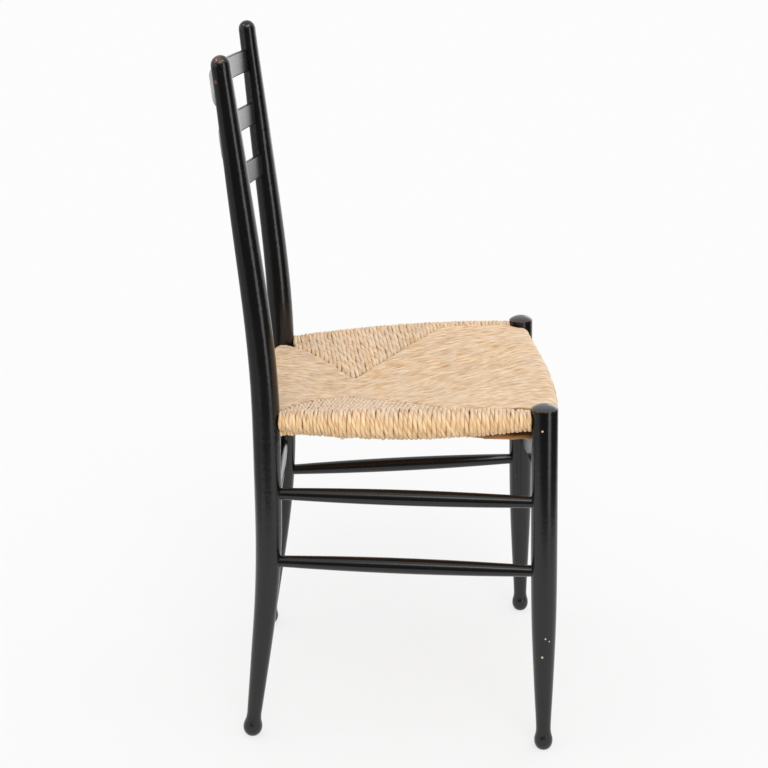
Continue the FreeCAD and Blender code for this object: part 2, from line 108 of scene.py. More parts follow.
def blackLacquer():
    # Spirit lacquer brushed over stain on turned beech: near black, smooth enough to mirror the studio
    # softly, and rubbed to brown wood or chipped to pale wood in a few places. The front legs' tops get a
    # painted pale reflection.
    material, tree, shader = newMaterial("brushedLacquerOnBeech")
    place = addNode(tree, "ShaderNodeTexCoord").outputs["Object"]
    noise = {}
    for name, (scale, detail) in lacquer["noises"].items():
        noise[name] = addNode(tree, "ShaderNodeTexNoise",
                              inputs={"Vector": place, "Scale": scale, "Detail": detail}).outputs["Fac"]
    signals = {"rims": noise["ragged"], "pinholes": noise["speck"]}

    # Nearness to the nearest worn place, from 0 at its radius to 1, made uneven by the ragged noise.
    for kind, fading in lacquer["fading"].items():
        worn = 0.0
        for x, y, z, radius in lacquer[kind]:
            away = addNode(tree, "ShaderNodeVectorMath", {"operation": "DISTANCE"}, {0: place, 1: (x, y, z)})
            near = addNode(tree, "ShaderNodeMapRange",
                           inputs={"Value": away.outputs["Value"], "From Min": radius,
                                   "From Max": radius * (1 - fading)})
            worn = addNode(tree, "ShaderNodeMath", {"operation": "MAXIMUM"},
                           {0: worn, 1: near.outputs["Result"]}).outputs[0]
        uneven = addNode(tree, "ShaderNodeMath", {"operation": "MULTIPLY_ADD"},
                         {0: worn, 1: lacquer["wornGain"], 2: -lacquer["wornLoss"]})
        signals[kind] = addNode(tree, "ShaderNodeMath", {"operation": "ADD"},
                                {0: uneven.outputs[0], 1: noise["ragged"]}).outputs[0]
    # Painted reflection: lacquer facing upwards takes a pale blue-grey, which is limited below to the front
    # legs' tops.
    normal = addNode(tree, "ShaderNodeNewGeometry").outputs["Normal"]
    signals["tops"] = addNode(tree, "ShaderNodeSeparateXYZ", inputs={0: normal}).outputs["Z"]

    shares = {}
    for kind, signal in signals.items():
        begins, full, most = lacquer["shows"][kind]
        shares[kind] = addNode(tree, "ShaderNodeMapRange",
                               inputs={"Value": signal, "From Min": begins, "From Max": full,
                                       "To Max": most}).outputs["Result"]

    # Rims and tops are the front legs' alone: in front of the chair's middle, and at or above the rims.
    split = addNode(tree, "ShaderNodeSeparateXYZ", inputs={0: place})
    inFront = addNode(tree, "ShaderNodeMath", {"operation": "LESS_THAN"}, {0: split.outputs["Y"], 1: 0.0})
    atRim = addNode(tree, "ShaderNodeMath", {"operation": "COMPARE"},
                    {0: split.outputs["Z"], 1: lacquer["rimHeight"], 2: lacquer["rimHalf"]})
    atTop = addNode(tree, "ShaderNodeMath", {"operation": "GREATER_THAN"},
                    {0: split.outputs["Z"], 1: lacquer["rimHeight"]})
    for kind, limit in (("rims", atRim), ("rims", inFront), ("tops", atTop), ("tops", inFront)):
        shares[kind] = addNode(tree, "ShaderNodeMath", {"operation": "MULTIPLY"},
                               {0: shares[kind], 1: limit.outputs[0]}).outputs[0]

    base = toLinear(lacquer["black"])
    for share, colour in ((noise["drift"], "brushed"), (shares["rubs"], "rubbed"),
                          (shares["chips"], "chipped"), (shares["tops"], "paintedTopSheen"),
                          (shares["rims"], "rubbed"), (shares["pinholes"], "rubbed")):
        base = addNode(tree, "ShaderNodeMix", colourMix,
                       {0: share, 6: base, 7: toLinear(lacquer[colour])}).outputs[2]
    tree.links.new(base, shader.inputs["Base Color"])
    shader.inputs["Roughness"].default_value = lacquer["roughness"]
    shader.inputs["IOR"].default_value = lacquer["ior"]
    bump = addNode(tree, "ShaderNodeBump",
                   inputs={"Height": noise["brush"], "Strength": 1.0, "Distance": lacquer["brushDepth"]})
    tree.links.new(bump.outputs[0], shader.inputs["Normal"])
    return material


# Bare wood and packing, hidden under the rush

# Turned beech left bare under the winding: pale, mottled over some 17 mm, with fine grain within that.
beech = {"name": "bareTurnedBeech", "tones": ("#b98d5f", "#d6b184"), "scale": 60.0, "detail": 4.0,
         "roughness": 0.6}
# Dry broken rush pushed in as packing: dull brown and ragged, in wisps about 5 mm across.
packing = {"name": "looseRushPacking", "tones": ("#6d4d28", "#b08a52"), "scale": 220.0, "detail": 5.0,
           "roughness": 0.8}


# Two tones of one colour, mixed by a noise through the piece.
def mottledFinish(finish):
    material, tree, shader = newMaterial(finish["name"])
    place = addNode(tree, "ShaderNodeTexCoord").outputs["Object"]
    grain = addNode(tree, "ShaderNodeTexNoise",
                    inputs={"Vector": place, "Scale": finish["scale"], "Detail": finish["detail"]})
    dark, pale = finish["tones"]
    base = addNode(tree, "ShaderNodeMix", colourMix,
                   {0: grain.outputs["Fac"], 6: toLinear(dark), 7: toLinear(pale)})
    tree.links.new(base.outputs[2], shader.inputs["Base Color"])
    shader.inputs["Roughness"].default_value = finish["roughness"]
    return material


# Gives each solid its finish, by its name.
def paintFrame():
    lacquered = blackLacquer()
    bare = mottledFinish(beech)
    loose = mottledFinish(packing)
    for name, piece in nodes.items():
        piece.data.materials.clear()
        if name.startswith("seat_rail"):
            piece.data.materials.append(bare)
        elif name == "seat_stuffing":
            piece.data.materials.append(loose)
        else:
            piece.data.materials.append(lacquered)


# The seat: its plan and heights in metres, as the solids have them; +X is the sitter's left, -Y the front

seat = {
    "frontX": 0.2133, "frontY": -0.1951,      # front legs' centre lines at the rails
    "backX": 0.1736, "backY": 0.1522,         # back posts' centre lines at the rails
    "legRadius": 0.0167, "postRadius": 0.0176,
    "endHalfWidth": 0.0118, "sideHalfWidth": 0.019, "frontHalfWidth": 0.0145,       # half a winding's width
    "frontBow": 0.010, "frontSkew": 1.0,
    "sag": 0.032, "belly": 0.018, "sink": 0.0006,
    "hollow": 0.25,                           # how round the hollow's middle is; 0 would be two flat slopes
    "depths": (0.0, 0.055, 0.17, 0.35, 0.53, 0.70, 0.86, 1.0),          # front rail to back rail
    "sagShares": (0.0, 0.11, 0.34, 0.68, 0.93, 1.0, 0.62, 0.0),
    "frontTopShares": (1.0, 0.0, 0.0, 0.0, 0.0, 0.0, 0.0, 0.0),
    "frontLowShares": (1.0, 0.85, 0.55, 0.2, 0.0, 0.0, 0.0, 0.0),
    "backShares": (0.0, 0.0, 0.0, 0.0, 0.0, 0.0, 0.25, 1.0),
    "depthSteps": 201, "rounding": 8,         # steps from front to back, averaged over so many each way
    "mitreInset": 0.0145, "bendShare": 0.35, "apexX": 0.044, "apexY": 0.0475,
    "cornerBulge": 0.005,                     # underside fullness beside the front legs
    "cornerBulgeX": 0.178, "cornerBulgeY": -0.135, "cornerBulgeReach": 0.034,
}

frontLeg = np.array([seat["frontX"], seat["frontY"]])
backPost = np.array([seat["backX"], seat["backY"]])
sideLength = math.dist(frontLeg, backPost)

# Winding over each rail: its top and underside at its two ends, and how far both swell between them.
windings = {
    "left": {"tops": (0.459, 0.448), "lows": (0.433, 0.424), "crown": 0.0075, "belly": 0.0135},
    "right": {"tops": (0.459, 0.448), "lows": (0.433, 0.424), "crown": 0.0030, "belly": 0.0135},
    "front": {"tops": (0.453, 0.453), "lows": (0.415, 0.415), "crown": 0.005, "belly": 0.003},
    "back": {"tops": (0.4405, 0.4405), "lows": (0.4125, 0.4125), "crown": 0.004, "belly": 0.006},
}

cords = {
    # Spacing of the cords at shares of each rail, front to back or from the sitter's right to left.
    "pitches": {
        "left": ((0.0, 0.0054), (1.0, 0.0054)),
        "right": ((0.0, 0.0050), (0.22, 0.0050), (0.30, 0.0058), (0.70, 0.0058), (0.80, 0.0044),
                  (1.0, 0.0044)),
        "front": ((0.0, 0.0056), (1.0, 0.0056)),
        "back": ((0.0, 0.0056), (1.0, 0.0056)),
    },
    "pitchJitter": 0.0002,
    "stationSteps": 400,          # how finely the changing spacing is summed
    "press": 1.19,                # each cord is a little thicker than its room, pressed against the next
    "radiusJitter": 0.05,
    "room": 0.0022,               # between a leg or post and the middle of the first cord beside it
    "wander": 0.0005,             # sideways drift along each cord
    "heave": 0.00025,             # and up and down
    "waves": ((0.03, 0.05), (0.06, 0.10), (0.15, 0.25)),      # the drift's three waves, shortest to longest
    "waveSum": 1.7,               # what the three waves add up to
    # How far each field is drawn up under its rail, and how far one cord hangs below the next there.
    "tight": {"left": 0.0026, "right": 0.0026, "front": 0.001, "back": 0.001},
    "scallop": 0.0009,
    # Length of one turn of the twist, and depth of the groove between the plies as a share of the radius.
    "lay": {"left": 0.050, "right": 0.036, "front": 0.085, "back": 0.070},
    "lobe": {"left": 0.11, "right": 0.14, "front": 0.17, "back": 0.17},
    # Painted shade between two cords: how brown it is, from what share of the way out to the side it begins,
    # and how soon it comes on beneath.
    "creaseShade": {"left": 0.38, "right": 1.0, "front": 0.8, "back": 0.65},
    "creaseFrom": 0.7, "creaseBelow": 2.0,
    "sides": 9,                   # corners of the ring that is carried along a cord
    "points": {"left": 190, "right": 178, "front": 155, "back": 190},       # rings along a cord
    "rounds": 2,                  # of smoothing
    "webPoints": 90, "bendPoints": 60,        # points on a path from mitre to rail, and round the rail
    "tip": 0.4,                   # smaller is a sharper end
    "join": 0.002,                # rounding where the seat's surface runs on to the winding
    "mitreDip": 0.006,            # how deep the cords dive where the fields meet, and over what length
    "legDipWide": 0.012, "legDipHigh": 0.016, "legDipFades": 0.03,      # the same beside the front legs
    "dipBend": 0.999,             # 1 would end a dive upright
    # Beneath, a side cord lets go of its rail over this length either side of the mitre's bend. Before that
    # it runs this far above the winding's lowest line.
    "legKeep": 0.035, "legClear": 0.004,
    "overlap": 0.009,             # how far front and back cords run on past each other in the middle
    "slot": 0.0042,               # room between the outermost front cords and the side winding
    "stray": 0.0014,              # and how far those cords wander
    # Bleached rush turns golden between these angles round the rail; beneath, a painted shade comes on over
    # this length.
    "goldenAngles": (0.55, 1.25), "shadeBeneathReach": 0.012,
    "seed": 11,
}

# A tied-off end under the right rail: its place as a share of the rail, its size, and how high up it shows.
knot = {"share": 0.72, "drop": 0.003, "width": 0.003, "height": 0.006}


# How far back a point is, from 0 over the front rail to 1 over the back rail.
def depthShare(y):
    return (y - seat["frontY"]) / (seat["backY"] - seat["frontY"])


# The straight line from one value to another.
def mix(first, second, share):
    return first + (second - first) * share


# From 0 to 1 between two values, level at both ends: three squares less two cubes.
def smoothStep(value, low, high):
    t = np.clip((value - low) / (high - low), 0, 1)
    return t * t * (3 - 2 * t)


# The larger of two heights, the corner between them rounded: half of sum plus root of squared difference.
def smoothMax(a, b, soft):
    return (a + b + np.sqrt((a - b) ** 2 + soft ** 2)) / 2


# A parabola that is 0 at both ends and 1 halfway.
def swelling(share):
    return 4 * share * (1 - share)


# The front rail's forward bow: a parabola, made fuller towards the sitter's right.
def frontBow(share):
    return seat["frontBow"] * swelling(share) * (1 + seat["frontSkew"] * (1 - 2 * share))


# Extra fullness under the front corners: a bell curve across, fading towards the back.
def cornerBulge(x, y):
    reach = seat["cornerBulgeReach"]
    return seat["cornerBulge"] * np.exp(-((np.abs(x) - seat["cornerBulgeX"]) / reach) ** 2
                                        - (np.maximum(y - seat["cornerBulgeY"], 0) / reach) ** 2)


# Top and bottom of the winding over a rail: straight between its corners plus a parabola's crown and belly.
def windingHeights(run, share):
    spec = windings[run]
    top = mix(*spec["tops"], share) + spec["crown"] * swelling(share)
    low = mix(*spec["lows"], share) - spec["belly"] * swelling(share)
    return top, low


# Given values along the depth, joined by straight lines and then rounded by a moving average.
def alongDepth(share, key):
    pad = seat["rounding"]
    steps = np.linspace(0, 1, seat["depthSteps"])
    values = np.interp(steps, seat["depths"], seat[key])
    padded = np.concatenate([2 * values[0] - values[pad:0:-1], values,
                             2 * values[-1] - values[-2:-pad - 2:-1]])
    kernel = np.hanning(2 * pad + 3)[1:-1]
    return np.interp(share, steps, np.convolve(padded, kernel / kernel.sum(), "same")[pad:-pad])


# Top and underside of the seat between the rails. Above, each cross-section is two slopes from the side
# windings down to a rounded hollow, because taut cords run straight; below, it is a parabola. Front and back
# ends follow the front and back windings.
def webHeights(x, y):
    share = np.clip(depthShare(y), 0, 1)
    out = np.clip(np.abs(x) / mix(seat["frontX"], seat["backX"], share), 0, 1)
    leftTop, leftLow = windingHeights("left", share)
    rightTop, rightLow = windingHeights("right", share)
    sag = alongDepth(share, "sagShares")
    middle = (leftTop + rightTop) / 2 - seat["sag"] * sag
    soft = seat["hollow"]
    slope = (np.sqrt(out ** 2 + soft ** 2) - soft) / (math.sqrt(1 + soft ** 2) - soft)
    top = mix(middle, np.where(x > 0, leftTop, rightTop), slope)
    low = np.where(x > 0, leftLow, rightLow) - seat["belly"] * sag * (1 - out ** 2)
    for run, topKey, lowKey in (("front", "frontTopShares", "frontLowShares"),
                                ("back", "backShares", "backShares")):
        runTop, runLow = windingHeights(run, (1 - out) / 2)
        top = mix(top, runTop, alongDepth(share, topKey))
        low = mix(low, runLow, alongDepth(share, lowKey))
    return top - seat["sink"], low + seat["sink"] - cornerBulge(x, y)


# A field's inner edge, as distances along its run and inwards from it.
def mitreLine(run):
    inset = seat["mitreInset"]
    corner = frontLeg + [-inset, inset]
    bend = mix(frontLeg, backPost, seat["bendShare"]) - [inset, 0]
    apex = np.array([seat["apexX"], seat["apexY"]])
    if run in ("left", "right"):
        along = (backPost - frontLeg) / sideLength
        inward = np.array([-along[1], along[0]])
        points = np.array([frontLeg, corner, bend, apex, backPost]) - frontLeg
        return points @ along, points @ inward
    side, sign = ([frontLeg, corner, bend, apex], 1) if run == "front" else ([backPost, apex], -1)
    points = np.array([point * [-1, 1] for point in side] + side[::-1])
    return points[:, 0], (points[:, 1] - side[0][1]) * sign


# Where the cords cross a rail: the spacing changes along it, so its inverse is summed and cut into equal
# steps, an even number of them.
def stationsAlong(run, low, high):
    places = np.linspace(low, high, cords["stationSteps"])
    spots, pitches = zip(*cords["pitches"][run])
    share = (places - low) / (high - low)
    counted = np.concatenate([[0], np.cumsum(np.diff(places) / np.interp(share, spots, pitches)[1:])])
    count = int(round(counted[-1] / 2)) * 2
    return np.interp(np.linspace(0, counted[-1], count), counted, places)


# Each path again with its points at equal distances along it.
def evenlySpaced(paths, count):
    steps = np.linalg.norm(np.diff(paths[:, :, :3], axis=1), axis=2)
    lengths = np.concatenate([np.zeros((len(paths), 1)), np.cumsum(steps, axis=1)], axis=1)
    wanted = np.linspace(0, 1, count)
    made = [[np.interp(wanted * length[-1], length, path[:, axis]) for axis in range(paths.shape[2])]
            for path, length in zip(paths, lengths)]
    return np.array(made).transpose(0, 2, 1), lengths[:, -1]


# Moving average along each path with its ends held.
def smoothed(paths, rounds):
    for turn in range(rounds):
        middle = (paths[:, :-2] + 2 * paths[:, 1:-1] + paths[:, 2:]) / 4
        paths = np.concatenate([paths[:, :1], middle, paths[:, -1:]], axis=1)
    return paths


# A slow uneven drift along each cord: three sine waves of random length and phase.
def drift(rng, distance, size):
    total = np.zeros_like(distance)
    for shortest, longest in cords["waves"]:
        length = rng.uniform(shortest, longest, (len(distance), 1))
        phase = rng.uniform(0, 2 * np.pi, (len(distance), 1))
        total += np.sin(2 * np.pi * distance / length + phase)
    return total * size / cords["waveSum"]


# A rail as its cords see it: each cord's point on the rail's centre line, the rail's direction, the way
# inwards, and each cord's place as a share of the rail, front to back or from the sitter's right to left.
def railFrame(run, stations):
    if run in ("left", "right"):
        mirror = np.array([1 if run == "left" else -1, 1])
        along = (backPost - frontLeg) * mirror / sideLength
        inward = np.array([-mirror[0] * abs(along[1]), -abs(along[0])])
        return frontLeg * mirror + stations[:, None] * along, along, inward, stations / sideLength
    corner = frontLeg if run == "front" else backPost
    base = np.stack([stations, np.full_like(stations, corner[1])], axis=1)
    inward = np.array([0.0, 1.0 if run == "front" else -1.0])
    return base, np.array([1.0, 0.0]), inward, (stations + corner[0]) / (2 * corner[0])


# Centre lines of one field's cords: from the mitre out over the seat, round the rail in half an oval, and
# back beneath. The fourth value is how far the rush is bleached there: 1 on top, 0 on the rail's flank and
# -1 below, which marks the underside for painted shade.
def cordPaths(run, stations, radii, rng):
    onSide = run in ("left", "right")
    base, along, inward, share = railFrame(run, stations)
    lineAlong, lineIn = mitreLine(run)
    reach = np.interp(stations, lineAlong, lineIn)
    top, low = windingHeights(run, share)
    low = low + cords["tight"][run] - np.abs(rng.normal(0, 1, len(stations))) * cords["scallop"] / 2
    if run == "front":
        base[:, 1] -= frontBow(share)
        reach += frontBow(share)
        low = low - cornerBulge(stations, np.full_like(stations, seat["frontY"]))

    # Half the width and height of the oval that a cord's middle follows round the rail, and how high it is.
    thick = radii[:, None]
    middleWidth = seat["sideHalfWidth"] if onSide else seat["frontHalfWidth"]
    wide = mix(seat["endHalfWidth"], middleWidth, swelling(share))[:, None] - thick
    high = ((top - low) / 2)[:, None] - thick
    centre = ((top + low) / 2)[:, None]

    # Beside the front legs the fields meet steeply, so the cords dive further there. In the middle,
    # between the two mitres, front and back cords run into each other without a dive.
    diveWide = np.full_like(stations, cords["mitreDip"])
    diveHigh = np.full_like(stations, cords["mitreDip"])
    overlap = np.zeros_like(stations)
    if onSide:
        bend = lineAlong[2]
        ease = smoothStep(stations, bend, bend + cords["legDipFades"])
        diveWide = mix(cords["legDipWide"], diveWide, ease)
        diveHigh = mix(cords["legDipHigh"], diveHigh, ease)
    else:
        central = np.abs(stations) < seat["apexX"] - cords["pitches"][run][0][1]
        diveHigh[central] = 0
        overlap[central] = cords["overlap"]
    diveWide = diveWide[:, None]
    diveHigh = diveHigh[:, None]

    # Distance from the rail's centre line, from the mitre out.
    inner = (np.maximum(reach - radii, wide[:, 0]) + overlap)[:, None]
    away = inner * (1 - np.linspace(0, 1, cords["webPoints"])[None, :])

    # The upper or under layer: the seat's surface, rounded into the oval over the rail, with a dive of a
    # quarter oval at the mitre. Beside the front legs a side cord keeps to its rail beneath, and the front
    # field's underside shows below it.
    def web(under):
        sign = 1 - 2 * under
        surface = webHeights(base[:, :1] + inward[0] * away, base[:, 1:] + inward[1] * away)[under]
        if under and onSide:
            past = smoothStep(stations, bend - cords["legKeep"], bend + cords["legKeep"])[:, None]
            surface = mix(low[:, None] + cords["legClear"], surface, past)
        arch = centre + sign * high * np.sqrt(np.clip(1 - (away / wide) ** 2, 0, 1))
        arch = np.where(away < wide, arch, -sign)      # past the oval, a metre out of the way
        level = sign * smoothMax(sign * arch, sign * (surface - sign * thick), cords["join"])
        fall = np.clip((away - inner + diveWide) / diveWide, 0, 1)
        return level - sign * diveHigh * (1 - np.sqrt(1 - fall ** 2 * cords["dipBend"]))

    angle = np.linspace(0, np.pi, cords["bendPoints"])[None, 1:-1]
    allAway = np.concatenate([away, -wide * np.sin(angle), away[:, ::-1]], axis=1)
    allZ = np.concatenate([web(0), centre + high * np.cos(angle), web(1)[:, ::-1]], axis=1)
    flank = (1 - smoothStep(angle, *cords["goldenAngles"])) * np.ones_like(wide)
    # The underside is marked for painted shade, which comes on over a short stretch.
    shadeBeneath = -smoothStep(away[:, ::-1], 0.0, cords["shadeBeneathReach"])
    bleached = np.concatenate([np.ones_like(away), flank, shadeBeneath], axis=1)
    if run == "right":
        tied = np.exp(-((share - knot["share"]) * sideLength / knot["width"]) ** 2)[:, None]
        allZ = allZ - knot["drop"] * tied * smoothStep(-allZ, -low[:, None] - knot["height"], -low[:, None])
    x = base[:, :1] + inward[0] * allAway
    y = base[:, 1:] + inward[1] * allAway
    return np.stack([x, y, allZ, bleached], axis=2), along


# Twisted cords: a ring of points is carried along each path, square to it, and its radius swells twice in
# each turn, the two plies going round once in a lay.
def cordMesh(run, paths, bleached, lengths, across, radii, tones, rng):
    count, points, sides = len(paths), paths.shape[1], cords["sides"]
    lay = cords["lay"][run]
    tangent = np.gradient(paths, axis=1)
    tangent /= np.linalg.norm(tangent, axis=2, keepdims=True)
    normal = np.cross(tangent, across)
    normal /= np.linalg.norm(normal, axis=2, keepdims=True)
    binormal = np.cross(tangent, normal)
    turn = np.linspace(0, 2 * np.pi, sides, endpoint=False)[None, None, :]
    distance = (np.linspace(0, 1, points)[None, :] * lengths[:, None])[:, :, None]
    offset = rng.uniform(0, 1, count)[:, None, None]
    plies = 1 + cords["lobe"][run] * np.cos(2 * (turn + 2 * np.pi * (distance / lay + offset)))
    fromEnd = np.minimum(np.arange(points), np.arange(points)[::-1])[None, :, None]
    tapered = np.clip((fromEnd + cords["tip"]) / (1 + cords["tip"]), 0, 1)
    reach = (radii[:, None, None] * plies * tapered)[..., None]
    outward = (np.cos(turn)[..., None] * normal[:, :, None, :]
               + np.sin(turn)[..., None] * binormal[:, :, None, :])
    verts = paths[:, :, None, :] + reach * outward

    # Four-sided faces from ring to ring, and one cap at each end of a cord.
    index = np.arange(count * points * sides).reshape(count, points, sides)
    after = np.roll(index, -1, axis=2)
    quads = np.stack([index[:, :-1], after[:, :-1], after[:, 1:], index[:, 1:]], axis=-1).reshape(-1, 4)
    caps = np.concatenate([index[:, 0, :][:, ::-1].ravel(), index[:, -1, :].ravel()])
    sizes = np.concatenate([np.full(len(quads), 4), np.full(2 * count, sides)])
    loops = np.concatenate([quads.ravel(), caps])
    mesh = bpy.data.meshes.new("rushCords_" + run)
    mesh.vertices.add(index.size)
    mesh.vertices.foreach_set("co", verts.astype(np.float32).ravel())
    mesh.loops.add(len(loops))
    mesh.loops.foreach_set("vertex_index", loops.astype(np.int32))
    mesh.polygons.add(len(sizes))
    mesh.polygons.foreach_set("loop_start", np.concatenate([[0], np.cumsum(sizes)[:-1]]).astype(np.int32))
    mesh.update(calc_edges=True)

    # U goes once round the cord and gains one with each turn of the twist; V is metres along it.
    grid = (count, points - 1, sides, 4)
    cornerTurn = np.broadcast_to(np.array([0, 1, 1, 0]) + np.arange(sides)[:, None], grid)
    reached = distance[:, :, 0, None, None]
    cornerAlong = np.concatenate([np.repeat(reached[:, :-1], 2, axis=3),
                                  np.repeat(reached[:, 1:], 2, axis=3)], axis=3)
    cornerAlong = np.broadcast_to(cornerAlong, grid)
    uv = np.zeros((len(loops), 2), np.float32)
    uv[:quads.size, 0] = (cornerTurn / sides + cornerAlong / lay + offset[..., None]).ravel()
    uv[:quads.size, 1] = cornerAlong.ravel()
    mesh.uv_layers.new(name="along").data.foreach_set("uv", uv.ravel())

    # What the finish reads: a cord's tone with its field's painted shade, how bleached it is with -1 marking
    # the underside's painted shade, and how much painted shade lies in the crease towards the next cord and
    # beneath the cord.
    flank = np.clip((np.abs(np.sin(turn)) - cords["creaseFrom"]) / (1 - cords["creaseFrom"]), 0, 1)
    shadeBeneath = np.clip(-np.cos(turn) * cords["creaseBelow"], 0, 1)
    values = {"tone": tones[:, None, None], "bleachAndUnderShade": bleached[:, :, None],
              "gapShade": np.maximum(flank, shadeBeneath) * cords["creaseShade"][run]}
    for label, value in values.items():
        attribute = mesh.attributes.new(label, "FLOAT", "POINT")
        spread = np.broadcast_to(value, (count, points, sides))
        attribute.data.foreach_set("value", spread.astype(np.float32).ravel())
    mesh.polygons.foreach_set("use_smooth", np.ones(len(sizes), bool))
    mesh.validate()
    return mesh


# One field of the seat: its cords' paths, each made a little uneven, and the piece that they make, which
# takes the place of the field's solid.
def windField(run, low, high, material, rng):
    stations = stationsAlong(run, low, high)
    count = len(stations)
    jitter = rng.uniform(-1, 1, count) * cords["radiusJitter"]
    radii = np.gradient(stations) / 2 * cords["press"] * (1 + jitter)
    stations = stations + rng.uniform(-1, 1, count) * cords["pitchJitter"]
    paths, along = cordPaths(run, stations, radii, rng)
    paths, lengths = evenlySpaced(paths, cords["points"][run])
    bleached = paths[:, :, 3]
    paths = smoothed(paths[:, :, :3], cords["rounds"])
    distance = np.linspace(0, 1, paths.shape[1])[None, :] * lengths[:, None]
    along = np.array([along[0], along[1], 0.0])
    wander = drift(rng, distance, cords["wander"])
    if run == "front":
        wander[[0, -1]] *= cords["stray"] / cords["wander"]
    paths = paths + wander[:, :, None] * along
    paths[:, :, 2] += drift(rng, distance, cords["heave"])
    # Each cord's tone at random, times its field's painted shade.
    tones = mix(rush["toneLow"], rush["toneHigh"], rng.uniform(0, 1, count)) * rush["fieldShades"][run]
    across = along if run in ("front", "left") else -along      # so that the faces point outwards
    mesh = cordMesh(run, paths, bleached, lengths, across, radii, tones, rng)
    piece = bpy.data.objects.new("rushCords_" + run, mesh)
    bpy.context.scene.collection.objects.link(piece)
    mesh.materials.append(material)
    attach(piece, "root")
    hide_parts("rush_" + run)
    print("rushCords_" + run, count, "cords", len(mesh.polygons), "faces")


# The four fields, each from leg to leg of its rail; the front one leaves a slot beside the side windings.
def windSeat(material):
    rng = np.random.default_rng(cords["seed"])
    legGap = seat["legRadius"] + cords["room"]
    postGap = seat["postRadius"] + cords["room"]
    frontEnd = seat["frontX"] - legGap - cords["slot"]
    backEnd = seat["backX"] - postGap
    for run in ("left", "right"):
        windField(run, legGap, sideLength - postGap, material, rng)
    windField("front", -frontEnd, frontEnd, material, rng)
    windField("back", -backEnd, backEnd, material, rng)


# Rush

rush = {
    "bleached": "#e4cbae", "golden": "#eacb9f",    # sun-faded on top, golden on the rails' flanks
    # Painted shade for the creases, over bleached and over golden rush.
    "shadeOfBleached": "#8c6a47", "shadeOfGolden": "#c59b66",
    "below": "#d0b48c",                            # a painted shade for the underside
    "toneLow": 0.93, "toneHigh": 1.03,             # from cord to cord
    # Painted shade for each field as a whole, darkest on the back field.
    "fieldShades": {"left": 0.98, "right": 0.98, "front": 0.96, "back": 0.89},
    "patchScale": 38.0, "patchDetail": 3.0,        # golden patches in the bleached top, some 25 mm across
    "patchFrom": 0.35, "patchTo": 0.6, "patchShare": 0.45,
    "fibre": "#d8bf9b",                            # the darkest fibres, as a tint on the cord's colour
    "fibreRound": 1.3, "fibreLong": 32.0,          # fibres 2 mm apart round the cord and 30 mm long
    "fibreDetail": 3.0, "fibreCoarse": 0.6, "fibreFrom": 0.32, "fibreTo": 0.58,
    "fibreShift": 400.0,                           # so that no two cords have the same fibres
    "fibreBump": 0.7, "fibreDepth": 0.0004,
    "plyEdge": -0.55,                              # cosine at which the groove between the plies begins
    "plyLine": 0.5, "plyFaded": 0.55,              # how dark the painted shade in that groove is, and its loss on top
    "roughness": 0.55, "sheen": 0.1,
}


